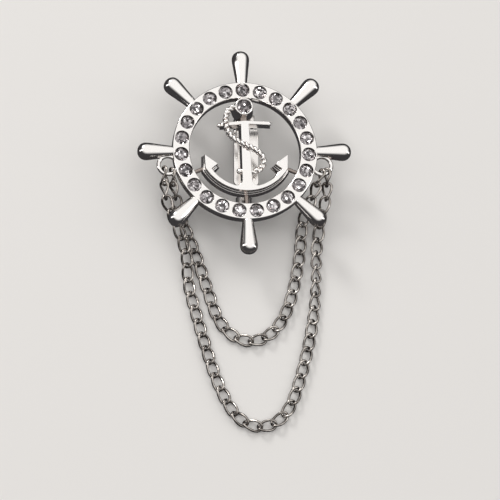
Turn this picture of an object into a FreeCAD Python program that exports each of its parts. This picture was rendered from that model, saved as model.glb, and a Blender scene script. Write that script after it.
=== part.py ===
import FreeCAD, Part
import math
import os
import Sketcher

Vector = FreeCAD.Vector

# Driving dimensions: alias, millimetres or degrees, what it is
SIZES = (
    ("wheel_y", 16.1, "wheel centre above the middle of the footprint"),
    ("ring_outer_r", 13.5, "rim, outer radius"),
    ("ring_inner_r", 10.36, "rim, inner radius"),
    ("ring_back_z", 5.2, "back of the casting above the surface"),
    ("ring_thick", 2.0, "rim thickness"),
    ("ring_round_r", 0.22, "rounding of the rim's edges"),
    ("stone_circle_r", 11.9, "radius of the row of stones"),
    ("stone_count", 23, "stones in the rim"),
    ("stone_r", 1.26, "stone, girdle radius"),
    ("stone_table_r", 0.7, "stone, table radius"),
    ("stone_crown", 0.44, "stone, crown height"),
    ("stone_girdle", 0.05, "stone, girdle thickness"),
    ("stone_pavilion", 0.84, "stone, pavilion depth"),
    ("stone_proud", 0.1, "table above the metal round it"),
    ("seat_r", 1.36, "stone seat radius"),
    ("seat_depth", 1.42, "stone seat depth"),
    ("handle_count", 8, "grips round the wheel"),
    ("handle_root_at", 12.95, "grip, distance of its root inside the rim"),
    ("handle_neck_r", 0.96, "grip, radius where it leaves the rim"),
    ("handle_belly_at", 18.35, "grip, distance of the widest place"),
    ("handle_belly_r", 1.68, "grip, widest radius"),
    ("handle_tip_at", 19.95, "grip, distance of its tip"),
    ("handle_tip_round", 1.68, "grip, arc radius of its rounded end"),
    ("ear_x", 14.35, "chain ear, centre across"),
    ("ear_y", 2.7, "chain ear, centre below the wheel's centre"),
    ("ear_r", 1.75, "chain ear, radius to the wire's middle"),
    ("ear_wire_r", 0.38, "chain ear, wire radius"),
    ("anchor_top_z", 8.2, "top face of the anchor above the surface"),
    ("arm_depth", 2.6, "depth of the arms' flared walls"),
    ("arm_flare", 0.55, "arms' walls, how far their foot stands out"),
    ("arm_outer_r", 8.85, "arms, outer arc radius"),
    ("arm_outer_y", 0.6, "arms, outer arc centre"),
    ("arm_inner_r", 7.76, "arms, inner arc radius"),
    ("arm_inner_y", 0.16, "arms, inner arc centre"),
    ("crotch_r", 1.1, "rounding between shank and arms"),
    ("fluke_out_x", 7.63, "fluke, outer corner across"),
    ("fluke_tip_x", 7.73, "fluke, tip across"),
    ("fluke_tip_y", 1.25, "fluke, tip below the wheel's centre"),
    ("fluke_barb_x", 5.37, "fluke, inner barb across"),
    ("fluke_barb_y", 3.05, "fluke, inner barb below the wheel's centre"),
    ("fluke_neck_x", 6.56, "fluke, inner corner across"),
    ("shank_low_w", 1.78, "shank, width above the arms"),
    ("shank_top_w", 1.45, "shank, width under the stock"),
    ("shank_top_y", 5.1, "shank, top end"),
    ("shank_low_y", 7.2, "shank, low end below the wheel's centre"),
    ("shank_flare", 7.0, "slope of the shank's and stock's walls, degrees"),
    ("stock_left_x", 4.4, "stock, left end across"),
    ("stock_left_y", 4.62, "stock, left end height"),
    ("stock_mid_y", 5.12, "stock, middle height"),
    ("stock_right_x", 4.68, "stock, right end across"),
    ("stock_right_y", 4.94, "stock, right end height"),
    ("stock_w", 0.7, "stock, width"),
    ("stock_depth", 1.5, "stock, depth"),
    ("stock_bead_r", 0.42, "stock, radius of its end beads"),
    ("stock_bead_gap", 0.36, "stock, left bead centre beyond the bar"),
    ("neck_w", 0.9, "neck between stock and stone cup, width on top"),
    ("neck_low_y", 5.3, "neck, lower end"),
    ("neck_top_y", 6.9, "neck, upper end"),
    ("neck_flare", 24.0, "slope of the neck's walls, degrees"),
    ("neck_drop", 1.1, "neck below the anchor's top face"),
    ("neck_depth", 1.8, "neck, depth"),
    ("cup_y", 8.25, "stone cup, centre"),
    ("cup_top_r", 1.7, "stone cup, rim radius"),
    ("cup_low_r", 2.05, "stone cup, radius at the back"),
    ("cup_rise", 0.1, "stone cup above the anchor's top face"),
    ("rope_r", 0.58, "rope radius"),
    ("knot_r", 0.6, "rope's end knot radius"),
    ("side_bridge_r", 0.38, "side bridges, radius"),
    ("side_bridge_turn", 22.5, "side bridges, degrees below the level line"),
    ("side_bridge_from", 8.2, "side bridges, distance of the inner end"),
    ("side_bridge_to", 10.48, "side bridges, distance of the outer end"),
    ("side_bridge_z", 5.75, "side bridges, middle above the surface"),
    ("low_bridge_r", 0.42, "lower bridge, radius"),
    ("low_bridge_from", 7.5, "lower bridge, distance of the inner end"),
    ("low_bridge_to", 10.48, "lower bridge, distance of the outer end"),
    ("low_bridge_z", 5.65, "lower bridge, middle above the surface"),
    ("top_bridge_w", 1.8, "upper bridge, width"),
    ("top_bridge_y", 9.3, "upper bridge, inner end"),
    ("top_bridge_l", 1.15, "upper bridge, length"),
    ("top_bridge_h", 1.7, "upper bridge, height"),
    ("pin_x", 0.4, "pin plate, middle across"),
    ("pin_y", -0.7, "pin plate, middle"),
    ("pin_turn", -2.5, "pin plate, turn on the back, degrees"),
    ("pin_gap", 0.02, "pin plate below the casting's back"),
    ("plate_w", 4.6, "pin plate, width"),
    ("plate_l", 11.3, "pin plate, length"),
    ("plate_t", 0.55, "pin plate, thickness"),
    ("plate_round_r", 0.9, "pin plate, corner radius"),
    ("strap_w", 1.6, "strap over the plate's ends, width"),
    ("strap_up", 9.3, "strap, upper end from the plate's middle"),
    ("strap_down", 7.4, "strap, lower end from the plate's middle"),
    ("hinge_y", 8.2, "hinge block, middle"),
    ("hinge_w", 3.6, "hinge block, width"),
    ("hinge_l", 2.2, "hinge block, length"),
    ("hinge_h", 3.2, "hinge block, height"),
    ("catch_y", -7.6, "catch barrel, middle"),
    ("catch_r", 1.5, "catch barrel, radius"),
    ("catch_l", 1.8, "catch barrel, length"),
    ("catch_neck_w", 1.4, "catch neck, width"),
    ("catch_neck_l", 0.7, "catch neck, length"),
    ("stem_r", 0.4, "pin stem, radius"),
    ("stem_z", 1.5, "pin stem, height above the surface"),
    ("stem_point_l", 1.1, "pin stem, length of its point"),
    ("link_a", 1.7, "chain link, half length to the wire's middle"),
    ("link_b", 0.93, "chain link, half width to the wire's middle"),
    ("link_c", 0.42, "chain link, twist out of its plane"),
    ("link_wire_r", 0.23, "chain link, wire radius"),
    ("link_pitch", 2.66, "chain, distance from link to link"),
    ("link_rest", 0.01, "chain, least height above the surface"),
)

# Rope over the anchor: across, up from the wheel's centre, above the rim's face
ROPE = (
    (-1.62, 8.42, 0.55),
    (-2.75, 7.75, 0.75),
    (-3.45, 6.45, 1.05),
    (-3.62, 5.05, 1.3),
    (-3.42, 3.45, 1.15),
    (-2.6, 2.15, 1.05),
    (-1.45, 1.3, 1.2),
    (0.15, 0.4, 1.35),
    (1.75, -0.45, 1.25),
    (2.95, -1.35, 0.95),
    (3.35, -2.6, 0.7),
    (2.75, -3.8, 0.45),
    (1.45, -4.45, 0.2),
    (0.0, -4.55, -0.1),
    (-1.25, -4.25, 0.1),
)

# Longer chain, link centres' route: across, up from the wheel's centre, height, roll in degrees
OUTER_ROUTE = (
    (-15.0, -4.7, 6.0, 104),
    (-14.9, -7.6, 4.9, 68),
    (-14.2, -9.9, 3.8, 30),
    (-12.8, -12.8, 2.7, 5),
    (-11.7, -16.0, 2.2, 0),
    (-11.05, -19.0, 2.0, 0),
    (-10.85, -22.2, 1.15, 0),
    (-10.5, -25.2, 0.67, 0),
    (-9.3, -30.6, 0.67, 0),
    (-8.0, -36.0, 0.67, 0),
    (-6.3, -42.0, 0.67, 0),
    (-4.3, -46.8, 0.67, 0),
    (-2.0, -49.8, 0.67, 0),
    (1.6, -51.1, 0.67, 0),
    (5.2, -49.6, 0.67, 0),
    (7.5, -46.4, 0.67, 0),
    (9.5, -41.0, 0.67, 0),
    (11.2, -35.0, 0.67, 0),
    (12.4, -28.8, 0.67, 25),
    (13.0, -22.6, 1.2, 45),
    (13.4, -17.6, 0.94, 15),
    (13.95, -14.3, 0.95, -3),
    (14.3, -11.6, 1.9, -4),
    (14.95, -9.4, 2.9, -25),
    (15.3, -7.2, 4.3, -50),
    (15.25, -4.9, 5.8, -80),
)

# Shorter chain, the same columns
INNER_ROUTE = (
    (-13.45, -4.85, 5.75, 100),
    (-13.1, -7.0, 4.2, 76),
    (-12.4, -9.3, 2.55, 35),
    (-11.5, -11.9, 1.15, 0),
    (-10.6, -14.3, 0.7, 0),
    (-9.5, -17.3, 0.67, 0),
    (-8.6, -20.3, 0.67, 0),
    (-7.2, -25.2, 0.67, 0),
    (-5.7, -30.2, 0.67, 0),
    (-3.3, -33.5, 0.67, 0),
    (0.2, -34.9, 0.67, 0),
    (3.7, -33.8, 0.67, 0),
    (6.4, -30.8, 0.67, 0),
    (8.3, -26.4, 0.67, 0),
    (9.7, -21.0, 0.67, 0),
    (10.4, -17.0, 0.67, 0),
    (10.8, -13.6, 0.8, 0),
    (11.3, -11.2, 1.7, -4),
    (12.2, -9.1, 3.1, -16),
    (13.1, -6.9, 4.65, -42),
    (13.9, -5.05, 5.9, -84),
)

doc = FreeCAD.newDocument("WheelBrooch")

# Spreadsheet of driving dimensions
sheet = doc.addObject("Spreadsheet::Sheet", "Sizes")
for row, (alias, value, meaning) in enumerate(SIZES, 1):
    sheet.set("A%d" % row, meaning)
    sheet.set("B%d" % row, str(value))
    sheet.setAlias("B%d" % row, alias)
doc.recompute()


def size(alias):
    return float(sheet.get(alias))


def bind(thing, **expressions):
    for name, expression in expressions.items():
        thing.setExpression(name.replace("__", "."), expression)


def number(expression):
    return float(sheet.evalExpression(expression))


# Sketches are drawn from expressions, so every corner follows the sheet
def newSketch(body, name, role, lift):
    sketch = body.newObject("Sketcher::SketchObject", name)
    plane = next(f for f in body.Origin.OriginFeatures if f.Role == role)
    sketch.AttachmentSupport = [(plane, "")]
    sketch.MapMode = "FlatFace"
    axis = "z" if role == "XY_Plane" else "y"
    sketch.setExpression("AttachmentOffset.Base." + axis, lift)
    return sketch


def fixValue(sketch, kind, geometry, position, expression):
    value = number(expression)
    if abs(value) < 1e-9:
        axis = -2 if kind == "DistanceX" else -1
        sketch.addConstraint(Sketcher.Constraint("PointOnObject", geometry, position, axis))
        return
    index = sketch.addConstraint(
        Sketcher.Constraint(kind, -1, 1, geometry, position, value)
    )
    name = "%s%d" % (kind, index)
    sketch.renameConstraint(index, name)
    sketch.setExpression("Constraints." + name, expression)


def drawCircle(sketch, x, y, radius):
    circle = Part.Circle(Vector(number(x), number(y), 0), Vector(0, 0, 1), number(radius))
    geometry = sketch.addGeometry(circle)
    fixValue(sketch, "DistanceX", geometry, 3, x)
    fixValue(sketch, "DistanceY", geometry, 3, y)
    index = sketch.addConstraint(Sketcher.Constraint("Radius", geometry, number(radius)))
    sketch.renameConstraint(index, "Radius%d" % index)
    sketch.setExpression("Constraints.Radius%d" % index, radius)


def arcBetween(first, second, radius, side):
    # side is 1 where the arc turns left on its way from first to second
    middle = (first + second) * 0.5
    chord = second - first
    rise = math.sqrt(radius**2 - (chord.Length / 2) ** 2)
    across = Vector(-chord.y, chord.x, 0) / chord.Length
    centre = middle + across * rise * side
    start, end = (first, second) if side > 0 else (second, first)
    angles = [math.atan2(p.y - centre.y, p.x - centre.x) for p in (start, end)]
    if angles[1] < angles[0]:
        angles[1] += 2 * math.pi
    circle = Part.Circle(centre, Vector(0, 0, 1), radius)
    return Part.ArcOfCircle(circle, angles[0], angles[1])


def drawOutline(sketch, corners):
    # corners: x, y, and for an arc to the next corner its radius and side
    points = [Vector(number(c[0]), number(c[1]), 0) for c in corners]
    ends = []
    for i, corner in enumerate(corners):
        first = points[i]
        second = points[(i + 1) % len(points)]
        if len(corner) == 2:
            geometry = sketch.addGeometry(Part.LineSegment(first, second))
            ends.append((geometry, 1, 2))
            continue
        radius, side = corner[2:]
        geometry = sketch.addGeometry(arcBetween(first, second, number(radius), side))
        index = sketch.addConstraint(Sketcher.Constraint("Radius", geometry, number(radius)))
        sketch.renameConstraint(index, "Radius%d" % index)
        sketch.setExpression("Constraints.Radius%d" % index, radius)
        ends.append((geometry, 1, 2) if side > 0 else (geometry, 2, 1))
    for i, (geometry, start, end) in enumerate(ends):
        after, after_start, after_end = ends[(i + 1) % len(ends)]
        sketch.addConstraint(
            Sketcher.Constraint("Coincident", geometry, end, after, after_start)
        )
        fixValue(sketch, "DistanceX", geometry, start, corners[i][0])
        fixValue(sketch, "DistanceY", geometry, start, corners[i][1])


def mirrored(corners):
    # the same corners on the other side of the wheel's middle, walked back
    back = []
    for i in range(len(corners) - 1, -1, -1):
        arc = corners[i - 1][2:] if i > 0 else ()
        back.append(("-(%s)" % corners[i][0], corners[i][1]) + tuple(arc))
    return back


def addPad(body, sketch, name, length, down=False, taper=None):
    pad = body.newObject("PartDesign::Pad", name)
    pad.Profile = sketch
    pad.Reversed = down
    pad.setExpression("Length", length)
    if taper:
        pad.setExpression("TaperAngle", taper)
    return pad


def addPattern(body, feature, name, count):
    pattern = body.newObject("PartDesign::PolarPattern", name)
    pattern.Originals = [feature]
    axis = next(f for f in body.Origin.OriginFeatures if f.Role == "Z_Axis")
    pattern.Axis = (axis, [""])
    pattern.Angle = 360
    pattern.setExpression("Occurrences", count)
    body.Tip = pattern
    return pattern


def makeWheel():
    body = doc.addObject("PartDesign::Body", "Wheel")
    face = "Sizes.ring_back_z + Sizes.ring_thick"
    rim = newSketch(body, "RimOutline", "XY_Plane", "Sizes.ring_back_z")
    drawCircle(rim, "0", "0", "Sizes.ring_outer_r")
    drawCircle(rim, "0", "0", "Sizes.ring_inner_r")
    pad = addPad(body, rim, "Rim", "Sizes.ring_thick")
    doc.recompute()
    rounds = body.newObject("PartDesign::Fillet", "RimRounds")
    circles = [
        "Edge%d" % (i + 1)
        for i, edge in enumerate(pad.Shape.Edges)
        if edge.Curve.TypeId == "Part::GeomCircle"
    ]
    rounds.Base = (pad, circles)
    rounds.setExpression("Radius", "Sizes.ring_round_r")

    grip = newSketch(body, "GripOutline", "YZ_Plane", "Sizes.ring_back_z + Sizes.ring_thick / 2")
    drawOutline(
        grip,
        [
            ("Sizes.handle_root_at", "0"),
            ("Sizes.handle_tip_at", "0", "Sizes.handle_tip_round", 1),
            ("Sizes.handle_belly_at", "Sizes.handle_belly_r"),
            ("Sizes.handle_root_at", "Sizes.handle_neck_r"),
        ],
    )
    turned = body.newObject("PartDesign::Revolution", "Grip")
    turned.Profile = grip
    turned.ReferenceAxis = (grip, ["H_Axis"])
    turned.Angle = 360
    addPattern(body, turned, "Grips", "Sizes.handle_count")

    seat = newSketch(body, "SeatOutline", "XY_Plane", face)
    drawCircle(seat, "0", "Sizes.stone_circle_r", "Sizes.seat_r")
    pocket = body.newObject("PartDesign::Pocket", "Seat")
    pocket.Profile = seat
    pocket.setExpression("Length", "Sizes.seat_depth")
    addPattern(body, pocket, "Seats", "Sizes.stone_count")
    return body


def armCorners(level):
    # right half of the anchor's arms, grown by the flare at the lower level
    grow = "Sizes.arm_flare * %d" % level
    outer = "(Sizes.arm_outer_r + %s)" % grow
    inner = "(Sizes.arm_inner_r - %s)" % grow
    crotch = "(Sizes.crotch_r - %s)" % grow
    reach = "(Sizes.shank_low_w / 2 + Sizes.crotch_r)"
    spare = "(Sizes.arm_inner_r - Sizes.crotch_r)"
    drop = "sqrt(%s^2 - %s^2)" % (spare, reach)
    out_x = "(Sizes.fluke_out_x + %s)" % grow
    neck_x = "(Sizes.fluke_neck_x - 1.4 * %s)" % grow
    return [
        (out_x, "Sizes.arm_outer_y - sqrt(%s^2 - %s^2)" % (outer, out_x)),
        ("Sizes.fluke_tip_x + 0.6 * %s" % grow, "0.8 * %s - Sizes.fluke_tip_y" % grow),
        ("Sizes.fluke_barb_x - 1.1 * %s" % grow, "-Sizes.fluke_barb_y"),
        (neck_x, "Sizes.arm_inner_y - sqrt(%s^2 - %s^2)" % (inner, neck_x), inner, -1),
        (
            "%s * %s / %s" % (inner, reach, spare),
            "Sizes.arm_inner_y - %s * %s / %s" % (inner, drop, spare),
            crotch,
            -1,
        ),
        ("Sizes.shank_low_w / 2 + " + grow, "Sizes.arm_inner_y - " + drop),
    ]


def makeAnchor():
    body = doc.addObject("PartDesign::Body", "Anchor")
    top = "Sizes.anchor_top_z"
    outlines = []
    for level in (0, 1):
        lift = "Sizes.anchor_top_z - Sizes.arm_depth * %d" % level
        outline = newSketch(body, "ArmsOutline%d" % level, "XY_Plane", lift)
        right = armCorners(level)
        left = mirrored(right)
        left[-1] += ("Sizes.arm_outer_r + Sizes.arm_flare * %d" % level, 1)
        drawOutline(outline, right + left)
        outlines.append(outline)
    arms = body.newObject("PartDesign::AdditiveLoft", "Arms")
    arms.Profile = outlines[0]
    arms.Sections = [(outlines[1], [""])]
    arms.Ruled = True

    shank = newSketch(body, "ShankOutline", "XY_Plane", top)
    low = ("Sizes.shank_low_w / 2", "-Sizes.shank_low_y")
    high = ("Sizes.shank_top_w / 2", "Sizes.shank_top_y")
    drawOutline(shank, [low, high] + mirrored([low, high]))
    depth = "Sizes.anchor_top_z - Sizes.ring_back_z"
    addPad(body, shank, "Shank", depth, True, "Sizes.shank_flare")

    stock = newSketch(body, "StockOutline", "XY_Plane", top)
    ends = (
        ("-Sizes.stock_left_x", "Sizes.stock_left_y"),
        ("0", "Sizes.stock_mid_y"),
        ("Sizes.stock_right_x", "Sizes.stock_right_y"),
    )
    under = [(x, "%s - Sizes.stock_w / 2" % y) for x, y in ends]
    over = [(x, "%s + Sizes.stock_w / 2" % y) for x, y in reversed(ends)]
    drawOutline(stock, under + over)
    addPad(body, stock, "Stock", "Sizes.stock_depth", True, "Sizes.shank_flare")

    neck = newSketch(body, "NeckOutline", "XY_Plane", top + " - Sizes.neck_drop")
    low = ("Sizes.neck_w / 2", "Sizes.neck_low_y")
    high = ("Sizes.neck_w / 2", "Sizes.neck_top_y")
    drawOutline(neck, [low, high] + mirrored([low, high]))
    addPad(body, neck, "Neck", "Sizes.neck_depth", True, "Sizes.neck_flare")
    return body


def makeBox(name, x, y, z, length, width, height):
    box = doc.addObject("Part::Box", name)
    bind(box, Length=length, Width=width, Height=height)
    bind(box, Placement__Base__x=x, Placement__Base__y=y, Placement__Base__z=z)
    return box


def makeBall(name, x, y, z, radius):
    ball = doc.addObject("Part::Sphere", name)
    bind(ball, Radius=radius)
    bind(ball, Placement__Base__x=x, Placement__Base__y=y, Placement__Base__z=z)
    return ball


def makeEar(name, side):
    ear = doc.addObject("Part::Torus", name)
    bind(ear, Radius1="Sizes.ear_r", Radius2="Sizes.ear_wire_r")
    bind(
        ear,
        Placement__Base__x="%d * Sizes.ear_x" % side,
        Placement__Base__y="-Sizes.ear_y",
        Placement__Base__z="Sizes.ring_back_z + Sizes.ring_thick / 2",
    )
    return ear


def makeSideBridge(name, side):
    turn = math.radians(size("side_bridge_turn"))
    outward = Vector(side * math.cos(turn), -math.sin(turn), 0)
    bridge = doc.addObject("Part::Cylinder", name)
    bridge.Placement.Rotation = FreeCAD.Rotation(Vector(0, 0, 1), outward)
    bind(
        bridge,
        Radius="Sizes.side_bridge_r",
        Height="Sizes.side_bridge_to - Sizes.side_bridge_from",
        Placement__Base__x="%d * Sizes.side_bridge_from * cos(Sizes.side_bridge_turn)" % side,
        Placement__Base__y="-Sizes.side_bridge_from * sin(Sizes.side_bridge_turn)",
        Placement__Base__z="Sizes.side_bridge_z",
    )
    return bridge


def makeLowBridge():
    bridge = doc.addObject("Part::Cylinder", "LowBridge")
    bridge.Placement.Rotation = FreeCAD.Rotation(Vector(1, 0, 0), 90)
    bind(
        bridge,
        Radius="Sizes.low_bridge_r",
        Height="Sizes.low_bridge_to - Sizes.low_bridge_from",
        Placement__Base__y="-Sizes.low_bridge_from",
        Placement__Base__z="Sizes.low_bridge_z",
    )
    return bridge


def makeCup():
    cup = doc.addObject("Part::Cone", "CupBody")
    bind(
        cup,
        Radius1="Sizes.cup_low_r",
        Radius2="Sizes.cup_top_r",
        Height="Sizes.anchor_top_z + Sizes.cup_rise - Sizes.ring_back_z",
        Placement__Base__y="Sizes.cup_y",
        Placement__Base__z="Sizes.ring_back_z",
    )
    return cup


def makeCupSeat():
    seat = doc.addObject("Part::Cylinder", "CupSeat")
    bind(
        seat,
        Radius="Sizes.seat_r",
        Height="Sizes.seat_depth * 2",
        Placement__Base__y="Sizes.cup_y",
        Placement__Base__z="Sizes.anchor_top_z + Sizes.cup_rise - Sizes.seat_depth",
    )
    return seat


def roundedPath(points):
    # straight runs joined by arcs as large as the two runs beside them allow
    edges = []
    start = points[0]
    for before, corner, after in zip(points, points[1:], points[2:]):
        back = (before - corner).normalize()
        on = (after - corner).normalize()
        shorter = min((before - corner).Length, (after - corner).Length)
        cut = 0.45 * shorter
        first = corner + back * cut
        last = corner + on * cut
        half = back.getAngle(on) / 2
        radius = cut * math.tan(half)
        inward = (back + on).normalize()
        middle = corner + inward * (radius / math.sin(half) - radius)
        edges.append(Part.LineSegment(start, first).toShape())
        edges.append(Part.Arc(first, middle, last).toShape())
        start = last
    edges.append(Part.LineSegment(start, points[-1]).toShape())
    return Part.Wire(edges)


def makeRope():
    face = size("ring_back_z") + size("ring_thick")
    points = [Vector(x, y, face + z) for x, y, z in ROPE]
    path = roundedPath(points)
    heading = points[1] - points[0]
    circle = Part.Circle(points[0], heading, size("rope_r"))
    section = Part.Wire([circle.toShape()])
    rope = doc.addObject("Part::Feature", "Rope")
    rope.Shape = path.makePipeShell([section], True, False)
    return rope


def fuse(name, label, pieces):
    joined = doc.addObject("Part::MultiFuse", name)
    joined.Shapes = pieces
    joined.Refine = True
    joined.Label = label
    return joined


def makeCasting():
    top = "Sizes.anchor_top_z - Sizes.stock_bead_r"
    face = "Sizes.ring_back_z + Sizes.ring_thick"
    knot_x, knot_y, knot_z = ROPE[-1]
    solid = fuse(
        "CastingBody",
        "casting_body",
        [
            makeWheel(),
            makeAnchor(),
            makeEar("LeftEar", -1),
            makeEar("RightEar", 1),
            makeCup(),
            makeRope(),
            makeBall("Knot", str(knot_x), str(knot_y), face + " + %s" % knot_z, "Sizes.knot_r"),
            makeBall(
                "LeftBead",
                "-Sizes.stock_left_x - Sizes.stock_bead_gap",
                "Sizes.stock_left_y - Sizes.stock_bead_gap / 8",
                top,
                "Sizes.stock_bead_r",
            ),
            makeBall(
                "RightBead",
                "Sizes.stock_right_x - Sizes.stock_bead_r / 4",
                "Sizes.stock_right_y",
                top,
                "Sizes.stock_bead_r",
            ),
            makeSideBridge("LeftBridge", -1),
            makeSideBridge("RightBridge", 1),
            makeLowBridge(),
            makeBox(
                "TopBridge",
                "-Sizes.top_bridge_w / 2",
                "Sizes.top_bridge_y",
                "Sizes.ring_back_z",
                "Sizes.top_bridge_w",
                "Sizes.top_bridge_l",
                "Sizes.top_bridge_h",
            ),
        ],
    )
    casting = doc.addObject("Part::Cut", "WheelCasting")
    casting.Base = solid
    casting.Tool = makeCupSeat()
    casting.Label = "wheel_casting"
    casting.setExpression("Placement.Base.y", "Sizes.wheel_y")
    return casting


def makePin():
    body = doc.addObject("PartDesign::Body", "PinPlate")
    under = "Sizes.ring_back_z - Sizes.pin_gap - Sizes.plate_t"
    plate = newSketch(body, "PlateOutline", "XY_Plane", under)
    low = ("Sizes.plate_w / 2", "-Sizes.plate_l / 2")
    high = ("Sizes.plate_w / 2", "Sizes.plate_l / 2")
    drawOutline(plate, [low, high] + mirrored([low, high]))
    pad = addPad(body, plate, "Plate", "Sizes.plate_t")
    doc.recompute()
    rounds = body.newObject("PartDesign::Fillet", "PlateCorners")
    upright = [
        "Edge%d" % (i + 1)
        for i, edge in enumerate(pad.Shape.Edges)
        if abs(edge.tangentAt(edge.FirstParameter).z) > 0.9
    ]
    rounds.Base = (pad, upright)
    rounds.setExpression("Radius", "Sizes.plate_round_r")
    strap = makeBox(
        "Strap",
        "-Sizes.strap_w / 2",
        "-Sizes.strap_down",
        under,
        "Sizes.strap_w",
        "Sizes.strap_down + Sizes.strap_up",
        "Sizes.plate_t",
    )
    hinge = makeBox(
        "Hinge",
        "-Sizes.hinge_w / 2",
        "Sizes.hinge_y - Sizes.hinge_l / 2",
        "0",
        "Sizes.hinge_w",
        "Sizes.hinge_l",
        "Sizes.hinge_h",
    )
    riser = makeBox(
        "HingeRiser",
        "-Sizes.strap_w / 2",
        "Sizes.hinge_y - Sizes.hinge_l / 2",
        "Sizes.hinge_h / 2",
        "Sizes.strap_w",
        "Sizes.hinge_l",
        under + " + Sizes.plate_t / 2 - Sizes.hinge_h / 2",
    )
    neck = makeBox(
        "CatchNeck",
        "-Sizes.catch_neck_w / 2",
        "Sizes.catch_y + Sizes.catch_l / 2 - Sizes.catch_neck_l",
        "Sizes.stem_z",
        "Sizes.catch_neck_w",
        "Sizes.catch_neck_l",
        under + " + Sizes.plate_t / 2 - Sizes.stem_z",
    )
    barrel = makeRod("CatchBarrel", "Sizes.catch_y + Sizes.catch_l / 2", "Sizes.catch_l")
    bind(barrel, Radius="Sizes.catch_r")
    length = "Sizes.hinge_y - Sizes.catch_y + Sizes.catch_l / 2"
    stem = makeRod("Stem", "Sizes.hinge_y", length)
    bind(stem, Radius="Sizes.stem_r")
    point = doc.addObject("Part::Cone", "StemPoint")
    point.Placement.Rotation = FreeCAD.Rotation(Vector(1, 0, 0), 90)
    bind(
        point,
        Radius1="Sizes.stem_r",
        Radius2="Sizes.stem_r / 4",
        Height="Sizes.stem_point_l",
        Placement__Base__y="Sizes.catch_y - Sizes.catch_l / 2",
        Placement__Base__z="Sizes.stem_z",
    )
    pin = fuse("BarPin", "bar_pin", [body, strap, hinge, riser, neck, barrel, stem, point])
    bind(
        pin,
        Placement__Base__x="Sizes.pin_x",
        Placement__Base__y="Sizes.wheel_y + Sizes.pin_y",
        Placement__Rotation__Angle="Sizes.pin_turn",
    )
    return pin


def makeRod(name, start, length):
    # a cylinder that runs down the wheel from start, at the stem's height
    rod = doc.addObject("Part::Cylinder", name)
    rod.Placement.Rotation = FreeCAD.Rotation(Vector(1, 0, 0), 90)
    bind(
        rod,
        Height=length,
        Placement__Base__y=start,
        Placement__Base__z="Sizes.stem_z",
    )
    return rod


def solidFrom(faces):
    return Part.Solid(Part.makeShell([Part.Face(Part.makePolygon(f + [f[0]])) for f in faces]))


def ringOf(count, radius, z, turn=0.0):
    steps = [2 * math.pi * (k + turn) / count for k in range(count)]
    return [Vector(radius * math.cos(a), radius * math.sin(a), z) for a in steps]


def makeBrilliant():
    # girdle at height 0, eight-sided table above, point below
    r = size("stone_r")
    table_r = size("stone_table_r")
    crown = size("stone_crown")
    low = -size("stone_girdle")
    culet = low - size("stone_pavilion")
    star_r = (table_r + r) / 2
    half_r = r / 4
    slant = math.cos(math.pi / 8)
    star_z = crown * (r - star_r * slant) / (r - table_r)
    half_z = culet + (low - culet) * half_r * slant / r
    table = ringOf(8, table_r, crown)
    star = ringOf(8, star_r, star_z, 0.5)
    upper = ringOf(16, r, 0)
    lower = ringOf(16, r, low)
    half = ringOf(8, half_r, half_z, 0.5)
    point = Vector(0, 0, culet)
    faces = [table]
    for k in range(8):
        after = (k + 1) % 8
        near, side, far = 2 * k, 2 * k + 1, (2 * k + 2) % 16
        faces.append([table[k], star[k], table[after]])
        faces.append([table[k], star[k - 1], upper[near], star[k]])
        faces.append([star[k], upper[near], upper[side]])
        faces.append([star[k], upper[side], upper[far]])
        faces.append([upper[near], lower[near], lower[side], upper[side]])
        faces.append([upper[side], lower[side], lower[far], upper[far]])
        faces.append([half[k], lower[side], lower[near]])
        faces.append([half[k], lower[far], lower[side]])
        faces.append([point, half[k], lower[near], half[k - 1]])
    return solidFrom(faces)


def makeStone(label, cut, x, y, top, turn):
    stone = doc.addObject("Part::Feature", label.title().replace("_", ""))
    stone.Shape = cut
    stone.Label = label
    girdle = top + size("stone_proud") - size("stone_crown")
    place = Vector(x, y + size("wheel_y"), girdle)
    stone.Placement = FreeCAD.Placement(place, FreeCAD.Rotation(Vector(0, 0, 1), turn))
    return stone


def makeStones():
    cut = makeBrilliant()
    count = int(size("stone_count"))
    reach = size("stone_circle_r")
    face = size("ring_back_z") + size("ring_thick")
    stones = []
    for k in range(count):
        angle = 2 * math.pi * k / count
        place = (reach * math.sin(angle), reach * math.cos(angle))
        stones.append(makeStone("stone_%02d" % (k + 1), cut, *place, face, 37.0 * k % 45))
    cup_top = size("anchor_top_z") + size("cup_rise")
    stones.append(makeStone("anchor_stone", cut, 0, size("cup_y"), cup_top, 11.0))
    return stones


def makeLink():
    # twisted curb link: an oval bent out of its plane, meshed round its wire
    a, b, c, wire = [size("link_" + k) for k in ("a", "b", "c", "wire_r")]
    around, sides = 16, 5
    rings = []
    for i in range(around):
        t = 2 * math.pi * i / around
        centre = Vector(a * math.cos(t), b * math.sin(t), c * math.sin(2 * t))
        along = Vector(-a * math.sin(t), b * math.cos(t), 2 * c * math.cos(2 * t))
        outward = Vector(b * math.cos(t), a * math.sin(t), 0)
        side = along.cross(outward).normalize()
        out = side.cross(along).normalize()
        steps = [2 * math.pi * k / sides for k in range(sides)]
        rings.append([centre + (out * math.cos(s) + side * math.sin(s)) * wire for s in steps])
    faces = []
    for i in range(around):
        here, on = rings[i], rings[(i + 1) % around]
        for k in range(sides):
            up = (k + 1) % sides
            faces.append([here[k], here[up], on[up]])
            faces.append([here[k], on[up], on[k]])
    return solidFrom(faces)


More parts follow.
